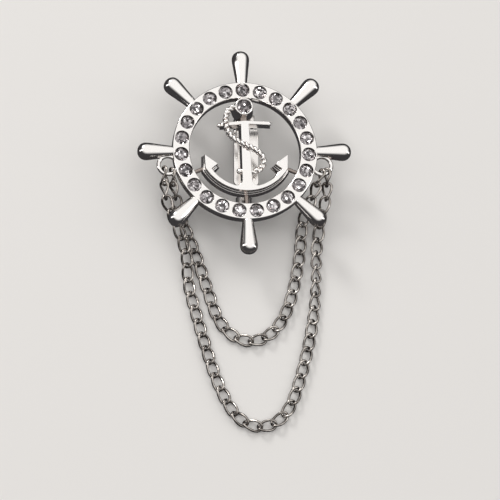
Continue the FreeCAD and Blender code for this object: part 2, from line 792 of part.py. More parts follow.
def routePoints(rows):
    # a smooth curve through the rows, 40 steps for each
    rest = size("link_c") + size("link_wire_r")
    ends = [[2 * p - q for p, q in zip(*pair)] for pair in (rows[:2], rows[:-3:-1])]
    rows = [ends[0]] + [list(row) for row in rows] + [ends[1]]
    points = []
    for p0, p1, p2, p3 in zip(rows, rows[1:], rows[2:], rows[3:]):
        for k in range(40):
            u = k / 40
            point = [
                ((3 * b - a - 3 * c + d) * u**3 + (2 * a - 5 * b + 4 * c - d) * u**2) / 2
                + (c - a) * u / 2
                + b
                for a, b, c, d in zip(p0, p1, p2, p3)
            ]
            points.append(point)
    points.append(rows[-2])
    return [(Vector(p[0], p[1], max(p[2], rest)), p[3]) for p in points]


def evenly(points, pitch):
    # link centres spaced evenly along the route, with the roll there
    lengths = [0.0]
    for (here, roll), (on, roll_on) in zip(points, points[1:]):
        lengths.append(lengths[-1] + here.distanceToPoint(on))
    count = round(lengths[-1] / pitch)
    spots = []
    k = 0
    for i in range(count + 1):
        want = lengths[-1] * i / count
        while k < len(points) - 2 and lengths[k + 1] < want:
            k += 1
        share = (want - lengths[k]) / (lengths[k + 1] - lengths[k])
        (here, roll), (on, roll_on) = points[k : k + 2]
        spots.append((here + (on - here) * share, roll + (roll_on - roll) * share))
    print("chain of %d links, pitch %.3f" % (len(spots), lengths[-1] / count))
    return spots


def makeChain(name, label, rows):
    link = makeLink()
    spots = evenly(routePoints(rows), size("link_pitch"))
    links = []
    for i, (centre, roll) in enumerate(spots):
        x_axis = spots[min(i + 1, len(spots) - 1)][0] - spots[max(i - 1, 0)][0]
        level = Vector(0, 0, 1).cross(x_axis)
        upright = x_axis.cross(level)
        aim = FreeCAD.Rotation(x_axis, level, upright, "XYZ")
        turn = aim.multiply(FreeCAD.Rotation(Vector(1, 0, 0), roll))
        placed = link.transformed(FreeCAD.Placement(centre, turn).toMatrix())
        sunk = size("link_rest") - placed.BoundBox.ZMin
        if sunk > 0:
            placed = placed.translated(Vector(0, 0, sunk))
        links.append(placed)
    chain = doc.addObject("Part::Feature", name)
    chain.Shape = Part.Compound(links)
    chain.Label = label
    chain.Placement = FreeCAD.Placement(Vector(0, size("wheel_y"), 0), FreeCAD.Rotation())
    return chain


casting = makeCasting()
pin = makePin()
stones = makeStones()
outer_chain = makeChain("OuterChain", "outer_chain", OUTER_ROUTE)
inner_chain = makeChain("InnerChain", "inner_chain", INNER_ROUTE)
doc.recompute()

# Checks before anything is written
failed = [o.Name for o in doc.Objects if {"Invalid", "Error"} & set(o.State)]
if failed:
    raise RuntimeError("failed objects: %s" % ", ".join(failed))
nodes = [casting, pin, outer_chain, inner_chain] + stones
for node in nodes:
    if node.Shape.isNull() or not node.Shape.isValid():
        raise RuntimeError("bad shape: " + node.Label)

# One file for each node
os.makedirs("parts", exist_ok=True)
for node in nodes:
    node.Shape.exportStep("parts/%s.step" % node.Label)
    box = node.Shape.BoundBox
    print(
        "%s: %d solid, volume %.2f, x %.2f to %.2f, y %.2f to %.2f, z %.2f to %.2f"
        % (
            node.Label,
            len(node.Shape.Solids),
            node.Shape.Volume,
            box.XMin,
            box.XMax,
            box.YMin,
            box.YMax,
            box.ZMin,
            box.ZMax,
        )
    )
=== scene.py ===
import math

import bmesh
import bpy
import numpy as np
from mathutils import Matrix, Vector


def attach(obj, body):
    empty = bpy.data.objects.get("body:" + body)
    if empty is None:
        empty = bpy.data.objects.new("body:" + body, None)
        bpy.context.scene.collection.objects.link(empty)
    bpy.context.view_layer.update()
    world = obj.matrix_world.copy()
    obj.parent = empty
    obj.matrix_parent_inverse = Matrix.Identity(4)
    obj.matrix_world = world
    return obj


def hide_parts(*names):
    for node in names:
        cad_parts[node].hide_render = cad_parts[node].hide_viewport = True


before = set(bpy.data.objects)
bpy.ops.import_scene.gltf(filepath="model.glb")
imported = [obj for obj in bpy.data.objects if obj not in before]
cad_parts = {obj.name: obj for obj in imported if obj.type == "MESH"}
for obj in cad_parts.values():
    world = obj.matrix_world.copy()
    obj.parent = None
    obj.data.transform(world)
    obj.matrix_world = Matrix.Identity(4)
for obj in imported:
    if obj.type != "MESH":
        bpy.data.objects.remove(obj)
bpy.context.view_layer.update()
print("frame loaded:", len(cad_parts), "nodes")

mm = 0.001
wheelY = 16.1  # wheel centre above the middle of the footprint, mm


# shader building: a wrapped socket that does sums, and one method for nodes
class Wire:
    def __init__(self, graph, socket):
        self.graph = graph
        self.socket = socket

    def sum(self, operation, first, second):
        return self.graph.sum(operation, first, second)

    def __add__(self, other):
        return self.sum("ADD", self, other)

    def __radd__(self, other):
        return self.sum("ADD", other, self)

    def __sub__(self, other):
        return self.sum("SUBTRACT", self, other)

    def __rsub__(self, other):
        return self.sum("SUBTRACT", other, self)

    def __mul__(self, other):
        return self.sum("MULTIPLY", self, other)

    def __rmul__(self, other):
        return self.sum("MULTIPLY", other, self)


class Graph:
    def __init__(self, owner):
        self.owner = owner
        owner.use_nodes = True
        self.tree = owner.node_tree
        self.tree.nodes.clear()

    def add(self, kind, settings=None, inputs=None, output=0):
        node = self.tree.nodes.new("ShaderNode" + kind)
        for key, value in (settings or {}).items():
            setattr(node, key, value)
        pairs = inputs.items() if isinstance(inputs, dict) else enumerate(inputs or [])
        for key, value in pairs:
            if isinstance(value, Wire):
                self.tree.links.new(value.socket, node.inputs[key])
            else:
                node.inputs[key].default_value = value
        return Wire(self, node.outputs[output])

    def sum(self, operation, first, second):
        return self.add("Math", {"operation": operation}, [first, second])

    def place(self):
        return self.add("TexCoord", output="Object")

    def noise(self, scale, detail=3.0, stretch=(1, 1, 1), rough=0.5):
        spot = self.add("Mapping", {}, {"Vector": self.place(), "Scale": stretch})
        wants = {"Vector": spot, "Scale": scale, "Detail": detail, "Roughness": rough}
        return self.add("TexNoise", {}, wants)

    def ramp(self, value, low, high, bottom=0.0, top=1.0):
        wants = [value, low, high, bottom, top]
        return self.add("MapRange", {"clamp": True}, wants)

    def blend(self, share, first, second):
        wants = {0: share, 6: first, 7: second}
        return self.add("Mix", {"data_type": "RGBA"}, wants, 2)

    def relief(self, look, height, **sockets):
        wants = {"Strength": look["relief"], "Distance": look["depth"], "Height": height, **sockets}
        return self.add("Bump", {}, wants)

    def finish(self, **sockets):
        wants = {key.replace("_", " "): value for key, value in sockets.items()}
        self.output("Material", self.add("BsdfPrincipled", {}, wants))
        return self.owner

    def output(self, kind, shader):
        node = self.tree.nodes.new("ShaderNodeOutput" + kind)
        self.tree.links.new(shader.socket, node.inputs["Surface"])


# looks: colours, roughness from and to, size of the mottling and of the fine grain
platingLook = {
    "bright": (0.92, 0.905, 0.89, 1),
    "steepReflection": (0.62, 0.53, 0.49, 1),  # painted reflection: steep sides darker and warmer, in noise patches
    "rough": (0.07, 0.15),
    "edge": 0.05 * mm,  # rounding of edges in the shading
}
# a darker, rougher copy of the plating: painted shade on the bridges and the neck, which sit deeper
shadedPlatingLook = {
    "bright": (0.33, 0.285, 0.26, 1),
    "steepReflection": (0.18, 0.14, 0.125, 1),
    "rough": (0.22, 0.42),
    "edge": 0.15 * mm,
}
castGrain = {"broad": 260, "fine": 2600, "relief": 0.06, "depth": 0.1 * mm}


def makePlating(name, look):
    g = Graph(bpy.data.materials.new(name))
    broad = g.noise(castGrain["broad"], 3)
    fine = g.noise(castGrain["fine"], 4)
    up = g.add("NewGeometry", output="Normal")
    height = g.add("SeparateXYZ", {}, [up], 2)
    # painted reflection: steep sides get a darker, warmer colour, broken into patches by noise
    slope = g.ramp(height, 0.92, 0.2)
    tint = g.ramp(broad, 0.45, 0.7) * slope * 0.75
    rounded = g.add("Bevel", {"samples": 6}, {"Radius": look["edge"]})
    relief = g.relief(castGrain, broad + fine * 0.15, Normal=rounded)
    low, high = look["rough"]
    return g.finish(
        Base_Color=g.blend(tint, look["bright"], look["steepReflection"]),
        Metallic=1.0,
        Roughness=g.ramp(fine, 0.3, 0.75, low, high),
        Normal=relief,
    )


chainLook = {
    "bright": (0.60, 0.565, 0.53, 1),
    "dark": (0.22, 0.2, 0.185, 1),
    "rough": (0.1, 0.22),
    "broad": 420,
    "fine": 5200,
    "relief": 0.12,
    "depth": 0.05 * mm,
}


def makeChainMetal():
    g = Graph(bpy.data.materials.new("darkenedNickel"))
    broad = g.noise(chainLook["broad"], 3)
    fine = g.noise(chainLook["fine"], 3)
    low, high = chainLook["rough"]
    relief = g.relief(chainLook, fine)
    return g.finish(
        Base_Color=g.blend(g.ramp(broad, 0.38, 0.66), chainLook["bright"], chainLook["dark"]),
        Metallic=1.0,
        Roughness=g.ramp(broad + fine * 0.4, 0.5, 0.9, low, high),
        Normal=relief,
    )


pinLook = {
    "bright": (0.92, 0.90, 0.88, 1),
    "dull": (0.76, 0.735, 0.71, 1),
    "ends": (0.34, 0.285, 0.26, 1),  # painted shade on the strap's ends, where hinge and catch are soldered on
    # the painted shade starts this far from the plate's middle, and over these heights
    "middle": 15.4 * mm,
    "half": 5.75 * mm,
    "fade": 0.25 * mm,
    "above": (3.4 * mm, 4.4 * mm),
    "edge": 0.12 * mm,
    "rough": (0.2, 0.34),
    "broad": 300,
    "fine": 2400,
    "brushing": (1, 0.06, 1),
    "relief": 0.1,
    "depth": 0.05 * mm,
}


def makePinMetal():
    g = Graph(bpy.data.materials.new("nickelledSteel"))
    brushed = g.noise(pinLook["fine"], 3, pinLook["brushing"])
    broad = g.noise(pinLook["broad"], 2)
    least, most = pinLook["rough"]
    along = g.add("SeparateXYZ", {}, [g.place()], 1) - pinLook["middle"]
    high = g.ramp(g.add("SeparateXYZ", {}, [g.place()], 2), *pinLook["above"])
    half = pinLook["half"]
    # painted shade at the strap's ends, which are also made rougher there
    shadedEnds = g.ramp(g.sum("ABSOLUTE", along, 0), half, half + pinLook["fade"]) * high
    plain = g.blend(g.ramp(broad, 0.45, 0.7), pinLook["bright"], pinLook["dull"])
    rounded = g.add("Bevel", {"samples": 6}, {"Radius": pinLook["edge"]})
    relief = g.relief(pinLook, brushed, Normal=rounded)
    return g.finish(
        Base_Color=g.blend(shadedEnds, plain, pinLook["ends"]),
        Metallic=1.0,
        Roughness=g.ramp(brushed, 0.3, 0.7, least, most) + shadedEnds * 0.15,
        Normal=relief,
    )


stoneLook = {
    "cell": 0.4 * mm,  # size of one glint
    "sparkle": 1.6,  # how far the glints tip the shading
    "pale": (0.95, 0.93, 0.95, 1),
    "paintedDarkFacet": (0.3, 0.28, 0.29, 1),
}


def makeStoneLook():
    g = Graph(bpy.data.materials.new("foiledCrystal"))
    wants = {"Vector": g.place(), "Scale": 1 / stoneLook["cell"]}
    cells = g.add("TexVoronoi", {"feature": "F1"}, wants, "Color")
    parts = [g.add("SeparateColor", {}, [cells], k) for k in range(3)]
    tilt = g.add("VectorMath", {"operation": "SUBTRACT"}, [cells, (0.5, 0.5, 0.5)])
    lean = g.add("VectorMath", {"operation": "SCALE"}, {0: tilt, 3: stoneLook["sparkle"]})
    facing = g.add("NewGeometry", output="Normal")
    tipped = g.add("VectorMath", {"operation": "ADD"}, [facing, lean])
    even = g.add("VectorMath", {"operation": "NORMALIZE"}, [tipped])
    # painted glints: each cell is coloured pale or dark to stand in for the facets' reflections
    return g.finish(
        Base_Color=g.blend(g.ramp(parts[0], 0.12, 0.62), stoneLook["pale"], stoneLook["paintedDarkFacet"]),
        Metallic=0.85,
        Roughness=g.ramp(parts[1], 0.0, 1.0, 0.02, 0.12),
        Normal=even,
        Coat_Weight=0.6,
        Coat_Roughness=0.02,
    )


plating = makePlating("brightPlating", platingLook)
shadedPlating = makePlating("paintedShadePlating", shadedPlatingLook)
chainMetal = makeChainMetal()
pinMetal = makePinMetal()
crystal = makeStoneLook()
print("materials made")


# mesh helpers: pieces are drawn in millimetres about the wheel's centre
def placedMesh(name, bm):
    bmesh.ops.scale(bm, vec=(mm, mm, mm), verts=bm.verts)
    bmesh.ops.translate(bm, vec=(0, wheelY * mm, 0), verts=bm.verts)
    mesh = bpy.data.meshes.new(name)
    bm.to_mesh(mesh)
    bm.free()
    return mesh


def newPiece(name, bm, material, nodes, sharp=38):
    mesh = placedMesh(name, bm)
    mesh.shade_smooth()
    mesh.set_sharp_from_angle(angle=math.radians(sharp))
    piece = bpy.data.objects.new(name, mesh)
    bpy.context.scene.collection.objects.link(piece)
    mesh.materials.append(material)
    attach(piece, "root")
    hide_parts(*nodes)
    print(name, "made:", len(mesh.polygons), "faces")
    return piece


def bakeModifiers(piece):
    graph = bpy.context.evaluated_depsgraph_get()
    mesh = bpy.data.meshes.new_from_object(piece.evaluated_get(graph))
    piece.modifiers.clear()
    piece.data = mesh


def spinProfile(bm, points, steps, axis, closed=False):
    # points are on a half plane through the axis
    verts = [bm.verts.new(p) for p in points]
    edges = [bm.edges.new(pair) for pair in zip(verts, verts[1:])]
    if closed:
        edges.append(bm.edges.new((verts[-1], verts[0])))
    bmesh.ops.spin(
        bm, geom=verts + edges, cent=(0, 0, 0), axis=axis, angle=2 * math.pi, steps=steps, use_merge=True
    )
    bmesh.ops.remove_doubles(bm, verts=bm.verts, dist=1e-4)


def arc(centre, radius, start, end, count):
    turns = [math.radians(start + (end - start) * k / count) for k in range(count + 1)]
    return [(centre[0] + radius * math.cos(a), centre[1] + radius * math.sin(a)) for a in turns]


def stackedOutline(bm, levels):
    # levels: a height and an outline each, from the top down, all with as many corners
    loops = []
    for height, outline in levels:
        verts = [bm.verts.new((x, y, height)) for x, y in outline]
        loops.append([bm.edges.new(pair) for pair in zip(verts, verts[1:] + verts[:1])])
        if height in (levels[0][0], levels[-1][0]):
            bm.faces.new(verts)
    for upper, lower in zip(loops, loops[1:]):
        bmesh.ops.bridge_loops(bm, edges=upper + lower)
    return loops[0]


def softenTop(bm, edges, width, segments=2):
    bmesh.ops.bevel(
        bm, geom=edges, offset=width, affect="EDGES", segments=segments, profile=0.5, material=-1
    )


def addBlock(bm, low, high, soft):
    low, high = Vector(low), Vector(high)
    matrix = Matrix.Translation((low + high) / 2) @ Matrix.Diagonal((*(high - low), 1))
    verts = bmesh.ops.create_cube(bm, size=1, matrix=matrix)["verts"]
    softenTop(bm, list({e for v in verts for e in v.link_edges}), soft, 2)


def addRod(bm, radius, length, segments, matrix):
    bmesh.ops.create_cone(
        bm, cap_ends=True, segments=segments, radius1=radius, radius2=radius, depth=length, matrix=matrix
    )


def addBall(bm, radius, centre):
    matrix = Matrix.Translation(centre)
    bmesh.ops.create_uvsphere(bm, u_segments=20, v_segments=14, radius=radius, matrix=matrix)


def allOf(bm):
    return bm.verts[:] + bm.edges[:] + bm.faces[:]


def copyVerts(bm, geom):
    # copies a shape and gives the copy's vertices
    copy = bmesh.ops.duplicate(bm, geom=geom)["geom"]
    return [v for v in copy if isinstance(v, bmesh.types.BMVert)]


rim = {
    "outer": 13.5,
    "inner": 10.36,
    "back": 5.2,
    "face": 7.2,
    "round": 0.24,
    "stoneRow": 11.9,
    "stones": 23,
    "seat": 1.36,  # radius of a stone's seat
    "seatDepth": 1.42,
    "steps": 144,
    "seatSteps": 40,
    "sharp": 30,
}


def makeRim():
    bm = bmesh.new()
    r = rim["round"]
    corners = (
        (rim["outer"] - r, rim["back"] + r, -90, 0),
        (rim["outer"] - r, rim["face"] - r, 0, 90),
        (rim["inner"] + r, rim["face"] - r, 90, 180),
        (rim["inner"] + r, rim["back"] + r, 180, 270),
    )
    section = [p for x, z, a, b in corners for p in arc((x, z), r, a, b, 4)]
    spinProfile(bm, [(x, 0, z) for x, z in section], rim["steps"], (0, 0, 1), True)
    bmesh.ops.recalc_face_normals(bm, faces=bm.faces)
    piece = newPiece("wheelRim", bm, plating, ["wheel_casting"])
    cutter = bmesh.new()
    for k in range(rim["stones"]):
        turn = 2 * math.pi * k / rim["stones"]
        middle = (rim["stoneRow"] * math.sin(turn), rim["stoneRow"] * math.cos(turn), rim["face"])
        addRod(cutter, rim["seat"], 2 * rim["seatDepth"], rim["seatSteps"], Matrix.Translation(middle))
    tool = bpy.data.objects.new("seatCutter", placedMesh("seatCutter", cutter))
    bpy.context.scene.collection.objects.link(tool)
    cut = piece.modifiers.new("seats", "BOOLEAN")
    cut.operation = "DIFFERENCE"
    cut.solver = "EXACT"
    cut.object = tool
    bakeModifiers(piece)
    bpy.data.objects.remove(tool)
    piece.data.shade_smooth()
    piece.data.set_sharp_from_angle(angle=math.radians(rim["sharp"]))
    return piece


grip = {
    "count": 8,
    "height": 6.2,
    # distance from the wheel's centre, radius
    "profile": (
        (12.9, 0.0),
        (12.9, 0.95),
        (13.6, 1.04),
        (15.0, 1.22),
        (16.5, 1.43),
        (17.6, 1.59),
        (18.3, 1.67),
        (18.85, 1.61),
        (19.32, 1.39),
        (19.7, 1.0),
        (19.9, 0.52),
        (19.95, 0.0),
    ),
}


def makeGrips():
    bm = bmesh.new()
    spinProfile(bm, [(r, 0, x) for x, r in grip["profile"]], 28, (0, 0, 1))
    bmesh.ops.rotate(bm, verts=bm.verts, matrix=Matrix.Rotation(math.radians(90), 3, "Y"))
    first = allOf(bm)
    for k in range(1, grip["count"]):
        turn = Matrix.Rotation(2 * math.pi * k / grip["count"], 3, "Z")
        bmesh.ops.rotate(bm, verts=copyVerts(bm, first), matrix=turn)
    bmesh.ops.translate(bm, verts=bm.verts, vec=(0, 0, grip["height"]))
    bmesh.ops.recalc_face_normals(bm, faces=bm.faces)
    piece = newPiece("wheelGrips", bm, plating, ["wheel_casting"], 80)
    finer = piece.modifiers.new("finer", "SUBSURF")
    finer.levels = finer.render_levels = 1
    return piece


ear = {"across": 14.35, "below": 2.7, "radius": 1.75, "wire": 0.38}


def makeEars():
    bm = bmesh.new()
    section = arc((ear["radius"], 0), ear["wire"], 0, 360, 14)[:-1]
    spinProfile(bm, [(x, 0, z) for x, z in section], 48, (0, 0, 1), True)
    left = bm.verts[:]
    right = copyVerts(bm, allOf(bm))
    for side, verts in ((1, right), (-1, left)):
        bmesh.ops.translate(bm, verts=verts, vec=(side * ear["across"], -ear["below"], grip["height"]))
    bmesh.ops.recalc_face_normals(bm, faces=bm.faces)
    return newPiece("chainEars", bm, plating, ["wheel_casting"], 80)


anchor = {
    "top": 8.2,
    "armFoot": 5.6,
    # shares of the walls' depth and how far they stand out there, with two thin ledges
    "walls": ((0, 0), (0.33, 0.08), (0.345, 0.15), (0.6, 0.22), (0.615, 0.29), (0.85, 0.4), (1, 0.55)),
    "outer": (0.6, 8.85),  # centre height and radius of the arms' outer arc
    "inner": (0.16, 7.76),
    "crotch": 1.1,
    "shank": (0.89, 0.725, -7.2, 5.1),  # half widths below and above, lower and upper end
    "flukeOut": 7.63,
    "flukeTip": (7.73, -1.25),
    "flukeBarb": (5.37, -3.05),
    "flukeNeck": 6.56,
    "flukeGrow": (0.6, 0.8, 1.1, 1.4),  # how tip across, tip up, barb and neck stand out with the wall
    "stock": ((-4.4, 4.62), (0.0, 5.12), (4.68, 4.94)),
    "stockHalf": 0.35,
    "beads": ((-4.76, 4.57), (4.57, 4.94)),
    "bead": 0.42,
    "neck": (0.45, 5.3, 6.9),
    # lift above the top face, depth, how far the foot stands out
    "shankWall": (0.004, 3, 0.37),
    "stockWall": (0.03, 1.5, 0.18),
    # rounding of the top edges
    "edge": 0.08,
    "stockEdge": 0.16,
}


def armOutline(grow):
    outerY, outerR = anchor["outer"][0], anchor["outer"][1] + grow
    innerY, innerR = anchor["inner"][0], anchor["inner"][1] - grow
    spare = anchor["inner"][1] - anchor["crotch"]
    reach = anchor["shank"][0] + anchor["crotch"]
    drop = math.sqrt(spare**2 - reach**2)
    outX = anchor["flukeOut"] + grow
    tipOut, tipUp, barbOut, neckOut = anchor["flukeGrow"]
    neckX = anchor["flukeNeck"] - neckOut * grow
    meet = -math.degrees(math.acos(reach / spare))
    outEnd = -math.degrees(math.acos(outX / outerR))
    neckEnd = -math.degrees(math.acos(neckX / innerR))
    right = arc((0, outerY), outerR, -90, outEnd, 22)
    right.append((anchor["flukeTip"][0] + tipOut * grow, anchor["flukeTip"][1] + tipUp * grow))
    right.append((anchor["flukeBarb"][0] - barbOut * grow, anchor["flukeBarb"][1]))
    right += arc((0, innerY), innerR, neckEnd, meet, 16)
    right += arc((reach, innerY - drop), anchor["crotch"] - grow, meet, -180, 9)[1:]
    left = [(-x, y) for x, y in reversed(right[1:])]
    return right + left


def barOutline(ends, half, grow):
    under = [(x, y - half - grow) for x, y in ends]
    over = [(x, y + half + grow) for x, y in reversed(ends)]
    under[0] = (under[0][0] - grow, under[0][1])
    under[-1] = (under[-1][0] + grow, under[-1][1])
    over[0] = (over[0][0] + grow, over[0][1])
    over[-1] = (over[-1][0] - grow, over[-1][1])
    return under + over


def quadOutline(lowHalf, highHalf, low, high, grow):
    return [
        (-lowHalf - grow, low - grow),
        (lowHalf + grow, low - grow),
        (highHalf + grow, high + grow),
        (-highHalf - grow, high + grow),
    ]


def makeAnchor():
    bm = bmesh.new()
    top, foot = anchor["top"], anchor["armFoot"]
    levels = [(top + (foot - top) * share, armOutline(out)) for share, out in anchor["walls"]]
    softenTop(bm, stackedOutline(bm, levels), anchor["edge"])
    lift, deep, out = anchor["shankWall"]
    levels = [(top + lift - deep * s, quadOutline(*anchor["shank"], out * s)) for s in (0, 1)]
    softenTop(bm, stackedOutline(bm, levels), anchor["edge"])
    lift, deep, out = anchor["stockWall"]
    half = anchor["stockHalf"]
    levels = [(top + lift - deep * s, barOutline(anchor["stock"], half, out * s)) for s in (0, 1)]
    softenTop(bm, stackedOutline(bm, levels), anchor["stockEdge"], 3)
    for x, y in anchor["beads"]:
        addBall(bm, anchor["bead"], (x, y, top - anchor["bead"]))
    bmesh.ops.recalc_face_normals(bm, faces=bm.faces)
    return newPiece("anchor", bm, plating, ["wheel_casting"], 40)


bridges = {
    # rods from the anchor to the rim: degrees below level, start, end, radius, height
    "rods": (
        (22.5, 8.2, 10.48, 0.38, 5.75),
        (157.5, 8.2, 10.48, 0.38, 5.75),
        (90, 7.5, 10.48, 0.42, 5.65),
    ),
    "block": ((-0.9, 9.3, 5.2), (0.9, 10.45, 6.9)),
    "blockEdge": 0.12,
    # the neck between stock and stone cup
    "neckTop": 7.1,
    "neckFoot": 5.3,
    "neckFlare": 0.8,
    "neckCurve": 0.8,
    "neckShares": (0, 0.25, 0.5, 1),
    "neckEdge": 0.3,
}


def makeBridges():
    bm = bmesh.new()
    for below, start, end, radius, height in bridges["rods"]:
        turn = math.radians(below)
        outward = Vector((math.cos(turn), -math.sin(turn), 0))
        middle = outward * (start + end) / 2 + Vector((0, 0, height))
        aim = outward.to_track_quat("Z", "Y").to_matrix().to_4x4()
        addRod(bm, radius, end - start, 24, Matrix.Translation(middle) @ aim)
    addBlock(bm, *bridges["block"], bridges["blockEdge"])
    half, low, high = anchor["neck"]
    top, foot, flare = bridges["neckTop"], bridges["neckFoot"], bridges["neckFlare"]
    levels = []
    for share in bridges["neckShares"]:
        outline = quadOutline(half, half, low, high, flare * share ** bridges["neckCurve"])
        levels.append((top + (foot - top) * share, outline))
    softenTop(bm, stackedOutline(bm, levels), bridges["neckEdge"], 4)
    bmesh.ops.recalc_face_normals(bm, faces=bm.faces)
    # painted shade: the bridges and neck take the darker copy of the plating
    return newPiece("castBridges", bm, shadedPlating, ["wheel_casting"], 50)


cup = {"y": 8.25, "topR": 1.7, "lowR": 2.05, "top": 8.3, "back": 5.2, "seat": 1.36, "depth": 1.42}


def makeCup():
    bm = bmesh.new()
    lip = (cup["topR"] - cup["seat"]) / 2
    ring = arc((cup["seat"] + lip, cup["top"] - lip * 0.7), lip, 0, 180, 8)
    profile = [(0.0, cup["back"]), (cup["lowR"], cup["back"])] + ring
    profile += [(cup["seat"], cup["top"] - cup["depth"]), (0.0, cup["top"] - cup["depth"])]
    spinProfile(bm, [(x, 0, z) for x, z in profile], 56, (0, 0, 1))
    bmesh.ops.translate(bm, verts=bm.verts, vec=(0, cup["y"], 0))
    bmesh.ops.recalc_face_normals(bm, faces=bm.faces)
    return newPiece("stoneCup", bm, plating, ["wheel_casting"], 40)


rope = {
    "strands": 2,
    "offset": 0.3,
    "strand": 0.295,
    "lay": 1.85,  # length of one full twist
    "knot": 0.58,
    # across, up from the wheel's centre, above the rim's face
    "route": (
        (-1.62, 8.42, 0.55),
        (-2.75, 7.75, 0.75),
        (-3.45, 6.45, 1.05),
        (-3.62, 5.05, 1.3),
        (-3.42, 3.45, 1.15),
        (-2.6, 2.15, 1.05),
        (-1.45, 1.3, 1.2),
        (0.15, 0.4, 1.35),
        (1.75, -0.45, 1.25),
        (2.95, -1.35, 0.95),
        (3.35, -2.6, 0.7),
        (2.75, -3.8, 0.45),
        (1.45, -4.45, 0.2),
        (0.0, -4.55, -0.1),
        (-1.25, -4.25, 0.1),
    ),
}


def smoothRoute(points):
    # points along a spline through the route, read from a curve with no thickness
    curve = bpy.data.curves.new("route", "CURVE")
    curve.dimensions = "3D"
    spline = curve.splines.new("NURBS")
    spline.points.add(len(points) - 1)
    for point, place in zip(spline.points, points):
        point.co = (*place, 1)
    spline.order_u = 3
    spline.use_endpoint_u = True
    spline.resolution_u = 16
    holder = bpy.data.objects.new("route", curve)
    bpy.context.scene.collection.objects.link(holder)
    graph = bpy.context.evaluated_depsgraph_get()
    mesh = bpy.data.meshes.new_from_object(holder.evaluated_get(graph))
    places = [v.co.copy() for v in mesh.vertices]
    bpy.data.objects.remove(holder)
    return places


def tubeMesh(name, lines, radius, closed, sides=10):
    # a mesh of round tubes along lines of points
    curve = bpy.data.curves.new(name, "CURVE")
    curve.dimensions = "3D"
    curve.bevel_depth = radius
    curve.bevel_resolution = sides // 2 - 2
    curve.use_fill_caps = not closed
    for line in lines:
        spline = curve.splines.new("POLY")
        spline.points.add(len(line) - 1)
        for point, place in zip(spline.points, line):
            point.co = (*place, 1)
        spline.use_cyclic_u = closed
    holder = bpy.data.objects.new(name, curve)
    bpy.context.scene.collection.objects.link(holder)
    graph = bpy.context.evaluated_depsgraph_get()
    mesh = bpy.data.meshes.new_from_object(holder.evaluated_get(graph))
    bpy.data.objects.remove(holder)
    return mesh


def makeRope():
    face = rim["face"]
    places = smoothRoute([(x, y, z + face) for x, y, z in rope["route"]])
    lines = [[] for k in range(rope["strands"])]
    side = Vector((1, 0, 0))
    travelled = 0.0
    for i, place in enumerate(places):
        along = (places[min(i + 1, len(places) - 1)] - places[max(i - 1, 0)]).normalized()
        side = (side - along * side.dot(along)).normalized()
        across = along.cross(side)
        if i:
            travelled += (place - places[i - 1]).length
        for k, line in enumerate(lines):
            turn = 2 * math.pi * (travelled / rope["lay"] + k / rope["strands"])
            line.append(place + (side * math.cos(turn) + across * math.sin(turn)) * rope["offset"])
    bm = bmesh.new()
    bm.from_mesh(tubeMesh("strands", lines, rope["strand"], False))
    addBall(bm, rope["knot"], places[-1])
    return newPiece("anchorRope", bm, plating, ["wheel_casting"], 60)


pin = {
    "middle": (0.4, -0.7),
    "turn": -2.5,
    "top": 5.18,
    "thick": 0.55,
    "plate": (4.6, 11.3, 0.9),  # width, length, corner radius
    "strap": (0.8, -7.4, 9.3),  # half width, lower end, upper end
    "hinge": (8.2, 3.6, 2.2, 3.2),  # middle, width, length, height
    "lug": 0.95,  # thickness of one lug
    "coil": 0.75,  # radius
    "catch": (-7.6, 1.8, 1.49, 0.62),  # middle, length, outer and inner radius
    "neck": (0.7, 0.7),  # half width, length
    "stem": (0.4, 8.2, -8.5, -9.6),  # radius, start, end of the round part, point
    "axis": 1.5,  # height of the stem
    "plateEdge": 0.1,
    "blockEdge": 0.08,
    "lugCorner": 0.4,
    "lugEdge": 0.12,
    "catchCorner": 0.15,
}


def roundedRect(width, length, corner):
    x, y = width / 2 - corner, length / 2 - corner
    places = ((x, -y, -90), (x, y, 0), (-x, y, 90), (-x, -y, 180))
    return [p for a, b, turn in places for p in arc((a, b), corner, turn, turn + 90, 4)]


def pinPiece(name, bm, lay):
    # lays a piece drawn about its own Z axis under the plate, turned as the pin is
    turned = Matrix.Translation((*pin["middle"], 0)) @ Matrix.Rotation(math.radians(pin["turn"]), 4, "Z")
    bmesh.ops.transform(bm, matrix=turned @ lay, verts=bm.verts)
    bmesh.ops.recalc_face_normals(bm, faces=bm.faces)
    return newPiece(name, bm, pinMetal, ["bar_pin"], 40)


def makePinPlate():
    bm = bmesh.new()
    top, low = pin["top"], pin["top"] - pin["thick"]
    outline = roundedRect(*pin["plate"])
    softenTop(bm, stackedOutline(bm, [(top, outline), (low, outline)]), pin["plateEdge"], 3)
    edge = pin["blockEdge"]
    half, down, up = pin["strap"]
    addBlock(bm, (-half, down, low + 0.01), (half, up, top - 0.01), edge)
    middle, width, length, height = pin["hinge"]
    riser = length / 2 - 0.1
    addBlock(bm, (-half, middle - riser, height / 2), (half, middle + riser, low + 0.2), edge)
    half, long = pin["neck"]
    centre, length, outer, inner = pin["catch"]
    inside = centre + length / 2
    addBlock(bm, (-half, inside - long, pin["axis"] + outer - 0.4), (half, inside, low + 0.2), edge)
    return pinPiece("pinPlate", bm, Matrix())


def makePinHinge():
    bm = bmesh.new()
    middle, width, length, height = pin["hinge"]
    lug = roundedRect(length, height, pin["lugCorner"])
    levels = [(width / 2, lug), (width / 2 - pin["lug"], lug)]
    softenTop(bm, stackedOutline(bm, levels), pin["lugEdge"], 3)
    bmesh.ops.rotate(bm, verts=copyVerts(bm, allOf(bm)), matrix=Matrix.Rotation(math.pi, 3, "Y"))
    between = width - 2 * pin["lug"] + 0.1
    addRod(bm, pin["coil"], between, 28, Matrix.Translation((0, pin["axis"] - height / 2, 0)))
    lay = Matrix(((0, 0, 1, 0), (1, 0, 0, middle), (0, 1, 0, height / 2), (0, 0, 0, 1)))
    return pinPiece("pinHinge", bm, lay)


